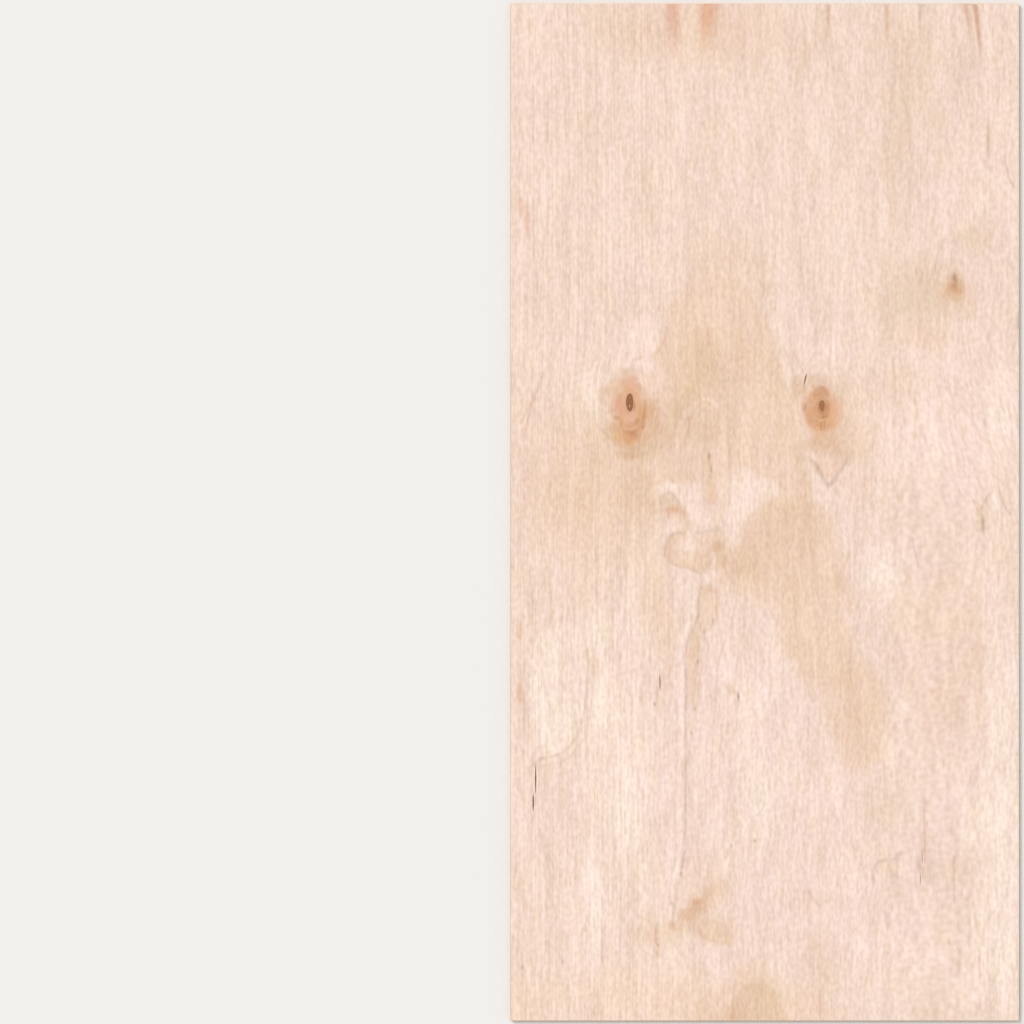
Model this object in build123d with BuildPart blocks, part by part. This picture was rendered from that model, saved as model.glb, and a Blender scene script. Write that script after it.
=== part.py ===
from build123d import *
import os

# A full sheet of birch plywood lying flat, in millimetres.
# X runs across the sheet, Y along its length and its face grain, Z up through its plies.
# The origin is the middle of the underside.

# The sheet as it is sold
sheet_width = 1220.0
sheet_length = 2440.0

# The lay-up: crossed core plies between two sanded face veneers
ply_count = 13
core_ply = 1.4
face_veneer = 1.3
thickness = 2 * face_veneer + (ply_count - 2) * core_ply

# The sawn edges: end grain stands a little proud of the plies cut along their fibres
grain_step = 0.1
arris = 0.5

# One turn of the log on the peeling lathe brings the same knot round again, further across the veneer
log_turn = 461.0

# The first knot, measured from the left edge and from the far end
knot_from_left = 286.0
knot_from_far_end = 957.0
knot_core_width = 17.5
knot_core_length = 43.0
knot_core_sink = 0.8

# The stub of pith that stands in the first knot's core, below its middle
pith_width = 4.0
pith_length = 7.0
pith_drop = 9.0

# The same knot one turn deeper in the log: smaller, and a little nearer the near end
second_core_drop = 8.0
second_core_width = 13.0
second_core_length = 26.0

# The veneer torn open above and to the left of the second knot
tear_length = 29.0
tear_gap = 3.4
tear_lean = -13.0
tear_left_of_knot = 39.5
tear_above_knot = 64.5

# The long split by the left edge, in two runs, the lower one on the next line of fibres
long_split_from_left = 60.5
long_split_from_near_end = 579.0
long_split_length = 72.0
long_split_gap = 2.8
lower_run_length = 46.0
lower_run_gap = 3.2
lower_run_step = 6.0
run_overlap = 3.0

# The short split left of the middle
short_split_from_left = 358.5
short_split_from_near_end = 812.5
short_split_length = 40.0
short_split_gap = 2.6

# Two hairline checks near the right edge
check_from_right = 237.0
check_from_near_end = 339.5
check_length = 36.0
check_gap = 1.4
check_step_across = 4.5
check_step_along = 52.0

left_edge = -sheet_width / 2
right_edge = sheet_width / 2
near_end = -sheet_length / 2
far_end = sheet_length / 2


def ply_bottom(ply):
    """Height of the underside of a ply, where ply 0 is the lower face veneer."""
    return 0.0 if ply == 0 else face_veneer + (ply - 1) * core_ply


def ply_thickness(ply):
    """Thickness of a ply: a face veneer outside, a core ply inside."""
    return face_veneer if ply in (0, ply_count - 1) else core_ply


def sawn_section(plane, span, first_sunk_ply):
    """Section between two opposite sawn edges, where every second ply is cut along its fibres and lies lower."""
    with BuildSketch(plane) as section:
        with Locations((0, thickness / 2)):
            Rectangle(span, thickness)
        chamfer(section.vertices(), arris)
        for ply in range(first_sunk_ply, ply_count, 2):
            middle = ply_bottom(ply) + ply_thickness(ply) / 2
            with Locations((-span / 2, middle), (span / 2, middle)):
                Rectangle(2 * grain_step, ply_thickness(ply), mode=Mode.SUBTRACT)
    return section.sketch


def split_outline(length, gap):
    """A crack along the grain: two shallow arcs that meet in a point at each end."""
    with BuildSketch() as outline:
        with BuildLine():
            ThreePointArc((0, -length / 2), (gap / 2, 0), (0, length / 2))
            ThreePointArc((0, length / 2), (-gap / 2, 0), (0, -length / 2))
        make_face()
    return outline.sketch


# The long edges cut the face veneers along their fibres, the ends cut the second ply so
long_edge_section = sawn_section(Plane.XZ.offset(near_end), sheet_width, 0)
end_section = sawn_section(Plane.YZ.offset(left_edge), sheet_length, 1)

first_knot = (left_edge + knot_from_left, far_end - knot_from_far_end)
second_knot = (first_knot[0] + log_turn, first_knot[1] - second_core_drop)
tear = (second_knot[0] - tear_left_of_knot, second_knot[1] + tear_above_knot)
long_split = (left_edge + long_split_from_left, near_end + long_split_from_near_end)
lower_run = (
    long_split[0] - lower_run_step,
    long_split[1] - (long_split_length + lower_run_length) / 2 + run_overlap,
)
short_split = (left_edge + short_split_from_left, near_end + short_split_from_near_end)
check = (right_edge - check_from_right, near_end + check_from_near_end)
upper_check = (check[0] + check_step_across, check[1] + check_step_along)

with BuildPart() as plywood_sheet:
    # The two sawn sections meet in a mitre at the four corners
    extrude(long_edge_section, amount=sheet_length)
    extrude(end_section, amount=sheet_width, mode=Mode.INTERSECT)

    # The knot cores have shrunk below the face
    with BuildSketch(Plane.XY.offset(thickness)):
        with Locations(first_knot):
            Ellipse(knot_core_width / 2, knot_core_length / 2)
        with Locations((first_knot[0], first_knot[1] - pith_drop)):
            Ellipse(pith_width / 2, pith_length / 2, mode=Mode.SUBTRACT)
        with Locations(second_knot):
            Ellipse(second_core_width / 2, second_core_length / 2)
    extrude(amount=-knot_core_sink, mode=Mode.SUBTRACT)

    # The face veneer has opened down to the ply under it
    with BuildSketch(Plane.XY.offset(thickness)):
        with Locations(tear):
            add(split_outline(tear_length, tear_gap), rotation=tear_lean)
        with Locations(long_split):
            add(split_outline(long_split_length, long_split_gap))
        with Locations(lower_run):
            add(split_outline(lower_run_length, lower_run_gap))
        with Locations(short_split):
            add(split_outline(short_split_length, short_split_gap))
        with Locations(check, upper_check):
            add(split_outline(check_length, check_gap))
    extrude(amount=-face_veneer, mode=Mode.SUBTRACT)

plywood_sheet.part.label = "plywood_sheet"

os.makedirs("parts", exist_ok=True)
export_step(plywood_sheet.part, "parts/plywood_sheet.step")
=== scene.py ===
import math
from functools import partial

import bpy
import numpy as np
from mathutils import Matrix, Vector
from mathutils.geometry import delaunay_2d_cdt


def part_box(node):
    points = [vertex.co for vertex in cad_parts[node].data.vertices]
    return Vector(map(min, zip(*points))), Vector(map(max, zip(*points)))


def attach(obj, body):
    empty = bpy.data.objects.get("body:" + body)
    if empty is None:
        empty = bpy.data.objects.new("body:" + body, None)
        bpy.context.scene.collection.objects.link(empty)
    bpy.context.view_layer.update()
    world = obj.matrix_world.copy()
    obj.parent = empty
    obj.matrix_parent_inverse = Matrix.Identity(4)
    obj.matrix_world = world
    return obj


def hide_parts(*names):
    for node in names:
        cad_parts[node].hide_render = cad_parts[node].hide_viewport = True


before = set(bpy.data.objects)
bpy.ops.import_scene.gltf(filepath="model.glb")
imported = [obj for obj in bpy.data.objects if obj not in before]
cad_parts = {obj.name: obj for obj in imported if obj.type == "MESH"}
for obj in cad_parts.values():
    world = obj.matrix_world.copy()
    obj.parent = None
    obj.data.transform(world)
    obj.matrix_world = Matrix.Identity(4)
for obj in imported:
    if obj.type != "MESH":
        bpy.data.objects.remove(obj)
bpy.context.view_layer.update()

# The sawn edges
# Thirteen birch veneers are glued crosswise in a hot press and sawn square on four sides. The saw leaves
# pale bands where it ran along the fibres, darker speckled end grain a little proud between them, and thin
# brown glue lines.
mm = 0.001
low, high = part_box("plywood_sheet")
half_width = (high.x - low.x) / 2 / mm
half_length = (high.y - low.y) / 2 / mm
thickness = (high.z - low.z) / mm
face_veneer = 1.3
core_ply = 1.4
ply_count = 2 + round((thickness - 2 * face_veneer) / core_ply)
grain_step = 0.1
arris = 0.5

# Points round the sheet, counter-clockwise seen from above, on a lattice of the widest cells
finest = 2.0
widest = 8
across_cells = widest * 2 * round((half_width - arris) / finest / widest)
along_cells = widest * 2 * round((half_length - arris) / finest / widest)
walk = [(i, 0) for i in range(0, across_cells, widest)]
walk += [(across_cells, j) for j in range(0, along_cells, widest)]
walk += [(i, along_cells) for i in range(across_cells, 0, -widest)]
walk += [(0, j) for j in range(along_cells, 0, -widest)]
round_x = [2 * i / across_cells - 1 for i, _ in walk]
round_y = [2 * j / along_cells - 1 for _, j in walk]
around = len(walk)

vertices = []
faces = []
finish_of = []
face_finish, back_finish, long_edge_finish, end_finish = range(4)
split_finish, narrow_finish, core_finish, second_core_finish = range(4, 8)


def edge_ring(height, inset_x, inset_y):
    """Adds one ring of points round the sheet at a height and returns the first one's number."""
    start = len(vertices)
    for u, v in zip(round_x, round_y):
        vertices.append((u * (half_width - inset_x), v * (half_length - inset_y), height))
    return start


def edge_band(lower, upper):
    """Joins two rings of points by a band of faces."""
    for k in range(around):
        n = (k + 1) % around
        faces.append((lower + k, lower + n, upper + n, upper + k))
        on_end = abs(round_y[k] + round_y[n]) == 2
        finish_of.append(end_finish if on_end else long_edge_finish)


bottom_ring = edge_ring(0.0, arris, arris)
previous = bottom_ring
for ply in range(ply_count):
    base = 0.0 if ply == 0 else face_veneer + (ply - 1) * core_ply
    top = base + (face_veneer if ply in (0, ply_count - 1) else core_ply)
    sunk_side, sunk_end = (grain_step, 0.0) if ply % 2 == 0 else (0.0, grain_step)
    for height in (max(base, arris), min(top, thickness - arris)):
        current = edge_ring(height, sunk_side, sunk_end)
        edge_band(previous, current)
        previous = current
top_ring = edge_ring(thickness, arris, arris)
edge_band(previous, top_ring)


def paint(red, green, blue):
    """A colour as the eye reads it, 0 to 255, turned into the light values that a shader takes."""
    return (*(((c / 255 + 0.055) / 1.055) ** 2.4 for c in (red, green, blue)), 1)


def put(tree, kind, feeds=(), **settings):
    """One shader node with its settings, fed by the values or sockets given for its inputs."""
    made = tree.nodes.new(kind)
    for name, value in settings.items():
        setattr(made, name, value)
    for socket, value in dict(feeds).items():
        if isinstance(value, bpy.types.NodeSocket):
            tree.links.new(value, made.inputs[socket])
        else:
            made.inputs[socket].default_value = value
    return made


def work(tree, operation, a, b=0.0, clamp=False):
    """The result of one sum on two values."""
    return put(tree, "ShaderNodeMath", {0: a, 1: b}, operation=operation, use_clamp=clamp).outputs[0]


def sums(tree):
    """Plus, minus and times, for the values of one material."""
    return (partial(work, tree, operation) for operation in ("ADD", "SUBTRACT", "MULTIPLY"))


def tint(tree, under, over, amount, blend="MIX"):
    """One colour laid over another, or multiplied into it, by an amount."""
    feeds = {0: amount, 6: under, 7: over}
    return put(tree, "ShaderNodeMix", feeds, data_type="RGBA", blend_type=blend).outputs[2]


noise_turn = 0.6


def streaks(tree, place, width, length, detail=0.0, sideways=0.0):
    """Noise about 0, drawn out along the grain: its streaks have a width and a length in millimetres."""
    scale = (1 / (width * mm), 1 / (length * mm), 1)
    # The turn keeps the square lattice of the noise out of line with the fibres
    drawn = put(tree, "ShaderNodeMapping", {"Vector": place, "Scale": scale, "Rotation": (0, 0, noise_turn),
                                            "Location": (sideways, 0, 0)})
    noise = put(tree, "ShaderNodeTexNoise", {"Vector": drawn.outputs[0], "Scale": 1.0, "Detail": detail},
                noise_dimensions="2D")
    return work(tree, "SUBTRACT", noise.outputs["Fac"], 0.5)


def new_look(name):
    """An empty material with its shader, and the tree that it is built in."""
    look = bpy.data.materials.new(name)
    look.use_nodes = True
    look.node_tree.nodes.clear()
    shader = put(look.node_tree, "ShaderNodeBsdfPrincipled")
    out = put(look.node_tree, "ShaderNodeOutputMaterial")
    look.node_tree.links.new(shader.outputs[0], out.inputs[0])
    return look, look.node_tree, shader


# Half a glue line as a share of a ply, and the height of the end grain's roughness in metres
glue_line = 0.05
edge_relief = 0.0002


def sawn_edge(name, run, first_long):
    """A sawn edge that lies along the axis run. first_long is 0 where its face veneers show long grain."""
    look, tree, shader = new_look(name)
    plus, minus, times = sums(tree)
    here = put(tree, "ShaderNodeSeparateXYZ", {0: put(tree, "ShaderNodeTexCoord").outputs["Object"]})
    lowest = (face_veneer - core_ply) * mm
    level = work(tree, "DIVIDE", minus(here.outputs["Z"], lowest), core_ply * mm)
    ply = work(tree, "FLOOR", level)
    share = work(tree, "FRACT", level)
    odd = work(tree, "MODULO", plus(ply, first_long), 2.0)
    place = put(tree, "ShaderNodeCombineXYZ", {0: here.outputs["Z"], 1: here.outputs[run]}).outputs[0]
    along = plus(streaks(tree, place, 0.6, 50, 1.0), 0.5)
    slow = plus(streaks(tree, place, 10, 350, 1.0, 3), 0.5)
    speck = plus(streaks(tree, place, 0.7, 0.7, 1.0, 7), 0.5)
    long_grain = tint(tree, paint(222, 188, 156), paint(250, 228, 206), along)
    end_grain = tint(tree, paint(176, 134, 102), paint(222, 184, 152), speck)
    colour = tint(tree, long_grain, end_grain, odd)
    colour = tint(tree, colour, paint(206, 166, 132), times(slow, 0.35))
    # No two plies are quite alike
    each = put(tree, "ShaderNodeTexWhiteNoise", {"W": ply}, noise_dimensions="1D").outputs["Value"]
    colour = tint(tree, colour, paint(200, 160, 126), times(each, 0.3))
    # The brown glue lines between the plies
    glue = minus(0.5, work(tree, "ABSOLUTE", minus(share, 0.5)))
    glue = work(tree, "LESS_THAN", glue, glue_line)
    colour = tint(tree, colour, paint(112, 76, 52), times(glue, 0.8))
    tree.links.new(colour, shader.inputs["Base Color"])
    shader.inputs["Roughness"].default_value = 0.72
    shader.inputs["Specular IOR Level"].default_value = 0.2
    relief = put(tree, "ShaderNodeBump", {"Strength": 0.5, "Distance": edge_relief, "Height": speck})
    tree.links.new(relief.outputs[0], shader.inputs["Normal"])
    return look


# The back
# The other face veneer, sanded to the same finish, which lies on the floor or on the joists. It is one flat
# ply of peeled birch without stains.
# For the filling: only triangles inside the ring, and points closer than this are one point
inside_only = 1
weld = 1e-4


def fill(ring_start, points, outlines):
    """Triangles over the area inside a ring of points, through all the given points and outlines."""
    flat = [Vector(vertices[ring_start + k][:2]) for k in range(around)]
    edges = [(k, (k + 1) % around) for k in range(around)]
    flat += [Vector(p) for p in points]
    for outline in outlines:
        first = len(flat)
        flat += [Vector(p) for p in outline]
        edges += [(first + k, first + (k + 1) % len(outline)) for k in range(len(outline))]
    made, _, triangles, made_from, _, _ = delaunay_2d_cdt(flat, edges, [], inside_only, weld)
    return made, triangles, made_from


def lay(made, made_from, height, ring_start):
    """Adds filled points to the sheet at a height, keeping the ring's own, and returns their numbers."""
    number = []
    for point, sources in zip(made, made_from):
        on_ring = [s for s in sources if s < around]
        if on_ring:
            number.append(ring_start + on_ring[0])
        else:
            number.append(len(vertices))
            vertices.append((point.x, point.y, height))
    return number


back_pitch = 60
back_margin = 40
back_x, back_y = np.meshgrid(
    np.arange(-half_width + back_margin, half_width - back_margin / 2, back_pitch),
    np.arange(-half_length + back_margin, half_length - back_margin / 2, back_pitch),
)
made, triangles, made_from = fill(bottom_ring, np.stack([back_x.ravel(), back_y.ravel()], 1), [])
number = lay(made, made_from, 0.0, bottom_ring)
for triangle in triangles:
    faces.append(tuple(number[p] for p in reversed(triangle)))
    finish_of.append(back_finish)


# The colours in the wood
# Sap, minerals and growth have tinted the pale birch here and there. Every mark lies in the wood itself and
# is sanded flush with it. Places are in millimetres from the sheet's middle.
wood = (243, 216, 200)
white = (253, 231, 217)
pale = (251, 227, 211)
pink = (249, 222, 209)
lilac = (246, 219, 207)
cream = (245, 215, 193)
sand = (241, 210, 190)
dun = (239, 211, 194)
light_tan = (238, 206, 183)
tan = (234, 201, 176)
deep_tan = (230, 196, 168)
olive = (233, 205, 183)
honey = (226, 191, 160)
gold = (224, 175, 133)
caramel = (222, 181, 148)
salmon = (233, 181, 147)
rust = (224, 171, 141)
orange = (215, 156, 114)
amber = (198, 142, 101)
ring = (200, 142, 102)
brown = (138, 92, 62)
dusk = (190, 158, 134)

# How far apart the points of a patch's rim and of a line lie, and the marks themselves, undermost first
rim_step = 6.0
line_step = 4.0
marks = []


def spot(x, y, across, along, colour, strength, soft=0.8, lean=0, at=(0, 0)):
    """A stained oval with a soft rim, its place counted from at. It leans clockwise by lean degrees."""
    marks.append(("spot", (x + at[0], y + at[1], across, along, lean), colour, strength, soft))


def patch(outline, colour, strength, soft):
    """A stained place inside a smooth closed outline, whose rim fades over soft millimetres each way."""
    marks.append(("patch", smooth_path([*outline, outline[0]], rim_step), colour, strength, soft))


def streak(path, width, colour, strength, at=(0, 0)):
    """A soft line along a smooth path, whose points are counted from at."""
    placed = [(x + at[0], y + at[1]) for x, y in path]
    marks.append(("streak", smooth_path(placed, line_step), colour, strength, width))


def smooth_path(points, step):
    """Points about one step apart on a smooth curve through the given points."""
    closed = tuple(points[0]) == tuple(points[-1])
    ends = [points[-2] if closed else points[0], *points, points[1] if closed else points[-1]]
    out = []
    for a, b, c, d in zip(ends, ends[1:], ends[2:], ends[3:]):
        a, b, c, d = (np.array(p, float) for p in (a, b, c, d))
        pieces = max(1, round(np.linalg.norm(c - b) / step))
        for t in np.arange(pieces) / pieces:
            out.append(0.5 * (2 * b + (c - a) * t + (2 * a - 5 * b + 4 * c - d) * t**2
                              + (3 * b - a - 3 * c + d) * t**3))
    return np.array([*out, points[-1]], float)


# Broad soft differences of tone: pinker low down and by the right edge, yellower round the knots
spot(13, -667, 480, 792, lilac, 0.75)
spot(480, 820, 149, 504, lilac, 0.4)
spot(324, 1084, 53, 144, dun, 0.7)
spot(473, 952, 53, 144, dun, 0.5)
spot(444, 197, 187, 252, pink, 0.9, 0.7)
spot(564, 221, 38, 110, white, 0.6, 0.7)
spot(516, -175, 53, 72, pink, 0.8, 0.7)
spot(574, -691, 58, 528, white, 0.75)
spot(540, -1051, 86, 149, white, 0.8)
spot(488, -758, 26, 120, white, 0.5)
spot(-16, -456, 82, 58, white, 0.5)
spot(-318, -89, 82, 36, pale, 0.45)
spot(305, -103, 36, 38, white, 0.6)
spot(-7, -691, 58, 120, white, 0.6)
spot(-71, -499, 58, 120, pink, 0.6)
spot(205, -883, 120, 38, pink, 0.6)
spot(336, -1075, 168, 62, pink, 0.6)
spot(-347, -559, 110, 444, pale, 0.6, 0.7)
spot(-393, -307, 31, 72, white, 0.7, 0.7)
spot(-335, -727, 38, 125, white, 0.8, 0.7)
spot(-419, -943, 31, 149, white, 0.8, 0.7)
spot(-390, -451, 29, 62, white, 0.7, 0.7)
spot(420, -343, 125, 252, sand, 0.75, 0.7)
spot(444, -331, 38, 62, dun, 0.5, 0.7)
spot(300, -691, 96, 96, dun, 0.8)
spot(300, -355, 48, 96, dun, 0.4, 0.7)
spot(492, -511, 48, 120, dun, 0.5, 0.7)
spot(324, -463, 38, 53, pink, 0.6, 0.7)
spot(449, -854, 82, 29, dun, 0.7, 0.7)
spot(286, -883, 58, 41, pink, 0.5)
spot(233, 269, 34, 53, cream, 0.7)
spot(-352, -379, 29, 86, sand, 0.5)
spot(-306, -343, 19, 48, sand, 0.5)
spot(-290, -892, 29, 62, pale, 0.45)
spot(157, -667, 34, 62, pink, 0.7, 0.7)
spot(276, -727, 29, 29, dun, 0.7, 0.7)
spot(109, -931, 48, 38, sand, 0.6, 0.7)
spot(-395, 53, 182, 154, light_tan, 1, 0.7)
spot(-414, 77, 82, 82, tan, 0.5)
spot(-491, 101, 120, 192, light_tan, 0.6)
spot(-287, 43, 67, 58, deep_tan, 0.7, 0.7)
spot(224, 72, 43, 58, sand, 0.8, 0.7)
spot(-395, -79, 168, 72, sand, 0.8, 0.7)
spot(-431, -175, 91, 62, sand, 0.6, 0.7)
spot(-263, -211, 48, 120, light_tan, 0.7, 0.7)
spot(-232, -319, 19, 132, light_tan, 0.6, 0.7)
spot(281, -144, 65, 77, white, 0.75, 0.7)
spot(-275, -1171, 216, 96, cream, 0.9, 0.7)
spot(-155, -895, 86, 86, sand, 0.7)
spot(133, -1075, 53, 72, sand, 0.7)
spot(444, -1204, 144, 29, dun, 0.6, 0.7)
spot(-575, -1178, 96, 82, cream, 0.6, 0.7)
spot(-155, 1156, 264, 86, light_tan, 0.7)
spot(320, 892, 53, 288, olive, 0.5, 0.7)
spot(420, 928, 26, 96, olive, 0.7, 0.6)
spot(382, 1104, 36, 110, olive, 0.85)
spot(281, 1142, 38, 144, dun, 0.5)
spot(286, 849, 22, 62, olive, 0.5)
spot(430, 830, 24, 53, olive, 0.6, 0.7)
spot(540, 736, 43, 77, dun, 0.6)
spot(286, 629, 26, 67, olive, 0.7)
spot(488, 482, 22, 29, olive, 0.8, 0.7)
spot(324, 840, 38, 58, olive, 0.4)
spot(286, 701, 22, 86, lilac, 0.7, 0.6)
spot(519, 741, 19, 34, white, 0.8, 0.6)
spot(502, 653, 62, 43, olive, 0.8, 0.7)
spot(353, 528, 101, 86, olive, 0.9, 0.7)
spot(384, 425, 72, 38, light_tan, 0.75, 0.7)
spot(324, 305, 72, 62, sand, 0.6, 0.7)
# Pale wood over the first knot, crossed by slanting light lines
patch([(-381, 360), (-366, 437), (-299, 470), (-232, 461), (-246, 403), (-275, 369), (-314, 350)],
       pink, 0.7, 10)
streak([(-366, 336), (-342, 389), (-299, 456)], 12, white, 0.6)
streak([(-342, 326), (-309, 384), (-270, 437)], 9.5, pale, 0.5)
spot(-405, 288, 29, 53, pale, 0.8, 0.6)
spot(157, 384, 53, 29, pink, 0.8, 0.7)
# Tan wood between the knots, which reaches past both of them
patch([(-194, 533), (-232, 480), (-249, 403), (-270, 374), (-261, 317), (-270, 221), (-263, 149),
       (-232, 82), (-170, 67), (-141, 77), (-103, 77), (-59, 96), (-21, 82), (27, 62), (61, 29), (99, 19),
       (113, 43), (99, 101), (85, 173), (65, 269), (46, 336), (27, 389), (13, 437), (-2, 485), (-40, 533),
       (-117, 561)], light_tan, 0.9, 10)
spot(-155, 345, 60, 110, deep_tan, 0.95, 0.7)
spot(-117, 545, 106, 144, light_tan, 0.7, 0.9)
spot(-52, 353, 34, 82, tan, 0.7, 0.7)
spot(-213, 226, 36, 86, deep_tan, 0.8, 0.7)
spot(-237, 170, 17, 24, tan, 0.6, 0.7)
spot(-153, 264, 34, 43, tan, 0.5)
spot(56, 209, 34, 82, tan, 0.5, 0.7)
spot(-88, 173, 12, 106, tan, 0.6, 0.7)
spot(224, 178, 36, 53, light_tan, 0.95, 0.7)
spot(85, 144, 34, 34, tan, 0.7, 0.7)
streak([(-163, 437), (-163, 365), (-165, 281)], 12, honey, 0.7)
streak([(-136, 441), (-134, 401)], 7, rust, 0.5)
streak([(-16, 441), (-16, 377)], 14.5, honey, 0.5)
spot(-179, 288, 17, 14, honey, 0.7, 0.6)
spot(-213, 249, 17, 22, honey, 0.7, 0.6)
spot(-249, 197, 10, 29, honey, 0.5, 0.6)
spot(-50, 202, 19, 72, cream, 0.5, 0.7)
# Two pale wedges under it, with the pale strip between them
patch([(-69, 82), (-81, 29), (-81, -19), (-69, -34), (-50, -10), (-31, 14), (-2, 29), (32, 38), (27, 55),
       (-7, 67), (-40, 91)], pink, 0.5, 14)
spot(-16, 43, 24, 19, white, 0.35, 0.9)
spot(-62, 79, 14, 14, light_tan, 0.5)
spot(-76, -38, 14, 48, pink, 0.8, 0.7)
streak([(-52, -79), (-45, -48), (-31, -17), (-11, 5), (13, 22), (39, 38)], 12, olive, 0.4)
patch([(-261, 58), (-242, 70), (-223, 74), (-199, 58), (-179, 53), (-163, 43), (-153, 10), (-153, -29),
       (-170, -24), (-184, 0), (-199, 19), (-213, 38), (-232, 48), (-251, 43)], pink, 1, 7)
spot(-203, 43, 24, 17, pale, 0.5)
spot(-225, 62, 19, 14, white, 0.6)
spot(-263, 46, 14, 26, cream, 0.7, 0.7)
spot(-107, 70, 10, 26, sand, 0.8, 0.7)
spot(-131, 72, 22, 72, light_tan, 0.85, 0.7)
spot(-122, -19, 19, 14, pink, 0.8, 0.7)
streak([(-98, 173), (-93, 77), (-98, 10), (-117, -24)], 9.5, cream, 0.8)
# The arches under the middle, with an olive heart
spot(-141, 199, 36, 48, olive, 0.8, 0.5)
spot(-139, 194, 31, 41, deep_tan, 0.7, 0.4)
spot(-225, 178, 12, 31, deep_tan, 0.7, 0.7)
spot(-71, 170, 12, 31, cream, 0.4)
spot(-155, 108, 17, 19, cream, 0.5)
spot(-189, 173, 14, 24, tan, 0.5)
spot(-88, 110, 7.2, 19.2, cream, 0.5)
spot(-127, 34, 11, 22, salmon, 0.45, 0.7)
spot(-127, -2, 5.8, 14.4, dun, 0.7)
# The large tan stain that runs down to the right from below the knots
patch([(-52, -34), (-33, -14), (1, 2), (73, 10), (142, 0), (171, -34), (185, -91), (190, -163),
       (195, -259), (214, -321), (252, -369), (286, -437), (291, -528), (267, -600), (205, -614),
       (166, -561), (142, -489), (118, -427), (80, -374), (46, -317), (22, -240), (-31, -197),
       (-88, -178), (-103, -144), (-98, -96), (-67, -74)], light_tan, 0.95, 22)
patch([(-57, -72), (-52, -46), (-45, -22), (-28, 2), (-9, 17), (10, 26), (34, 36), (75, 36), (113, 22),
       (142, -5), (152, -43), (142, -91), (109, -139), (46, -163), (-35, -158), (-83, -154), (-103, -130),
       (-98, -91), (-71, -86)], light_tan, 0.9, 7)
patch([(-47, -62), (-28, -29), (8, -5), (75, 0), (123, -19), (137, -62), (113, -115), (51, -139),
       (-21, -144), (-74, -134)], tan, 0.9, 22)
spot(-141, -106, 58, 36, light_tan, 0.8, 0.7)
spot(65, -5, 72, 29, deep_tan, 0.5)
spot(-50, -130, 38, 29, deep_tan, 0.7)
spot(176, -180, 38, 24, tan, 0.8)
spot(85, -187, 58, 24, light_tan, 0.5)
spot(46, -166, 48, 24, tan, 0.6)
spot(49, -62, 29, 24, deep_tan, 0.5)
spot(205, -221, 12, 29, tan, 0.8, 0.7)
spot(243, -192, 24, 24, light_tan, 0.5)
spot(157, -458, 31, 29, wood, 0.5)
spot(164, -115, 29, 29, sand, 0.6)
spot(190, -393, 38, 29, deep_tan, 0.6, 0.9)
spot(233, -470, 43, 77, tan, 0.9, 0.9)
spot(137, -297, 53, 62, sand, 0.4, 0.9)
# The channel that runs down from the closed ring to the near end
patch([(-153, -187), (-136, -180), (-117, -187), (-112, -223), (-117, -254), (-129, -273), (-146, -293),
       (-155, -307), (-160, -331), (-158, -367), (-163, -427), (-167, -451), (-184, -451), (-187, -403),
       (-189, -367), (-189, -343), (-184, -319), (-175, -295), (-163, -264), (-158, -223)], sand, 0.95, 5)
spot(-141, -204, 14, 22, tan, 0.7)
streak([(-151, -185), (-139, -187), (-129, -188), (-117, -191)], 6, caramel, 0.6)
streak([(-151, -149), (-149, -182)], 5, dusk, 0.3)
streak([(-116, -120), (-116, -192)], 5, honey, 0.6)
spot(-129, -226, 10, 22, cream, 0.5, 0.6)
streak([(-170, -221), (-177, -259), (-194, -288), (-199, -331), (-199, -451), (-199, -643), (-203, -811),
        (-213, -864), (-227, -912)], 9.5, white, 0.7)
streak([(-175, -307), (-172, -403), (-170, -463)], 9.5, tan, 0.6)
# The pale tongue by the left edge
patch([(-436, -307), (-424, -379), (-429, -451), (-438, -499), (-450, -535), (-477, -571), (-520, -588),
       (-549, -588), (-563, -451), (-554, -319), (-496, -264), (-453, -273)], white, 0.6, 7)
spot(-491, -427, 58, 144, white, 0.4)
streak([(-424, -307), (-419, -384), (-424, -451), (-434, -499), (-446, -535)], 9.5, pale, 0.4)
spot(-407, -372, 14, 38, sand, 0.7, 0.6)
# The honey-coloured knot scar near the near end, and the tan streaks that fan out of it
patch([(-199, -984), (-189, -955), (-165, -926), (-136, -902), (-103, -885), (-86, -897), (-103, -926),
       (-131, -950), (-127, -974), (-88, -993), (-86, -1022), (-117, -1034), (-151, -1022),
       (-175, -1003)], tan, 0.8, 14)
streak([(-170, -960), (-148, -933), (-122, -904), (-100, -868)], 19, honey, 0.45)
streak([(-88, -825), (-91, -864), (-98, -902)], 12, light_tan, 0.9)
spot(-107, -844, 12, 24, dun, 0.7, 0.7)
spot(-167, -952, 26, 17, honey, 0.95, 0.7, 40)
spot(-163, -943, 22, 12, rust, 0.6, 0.8, 45)
spot(-184, -967, 12, 17, orange, 0.6, 0.9)
spot(-201, -969, 12, 19, caramel, 0.7)
spot(-155, -936, 19, 10, orange, 0.3, 0.8, 45)
spot(-131, -1015, 38, 19, tan, 0.75)
spot(-81, -1003, 19, 34, light_tan, 0.8, 0.7)
spot(-83, -1029, 14, 12, tan, 0.7, 0.7)
spot(-158, -984, 24, 19, tan, 0.7, 0.7)
spot(-218, -1000, 38, 24, tan, 0.85, 0.7)
spot(-223, -993, 9, 12, amber, 0.35)
spot(-242, -957, 12, 34, sand, 0.7, 0.7)
spot(-127, -943, 12, 12, tan, 0.8, 0.7)
spot(-105, -936, 14, 17, sand, 0.9, 0.7)
spot(-280, -976, 29, 12, light_tan, 0.6, 0.7)
spot(-225, -1029, 19, 17, light_tan, 0.7, 0.7)
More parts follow.
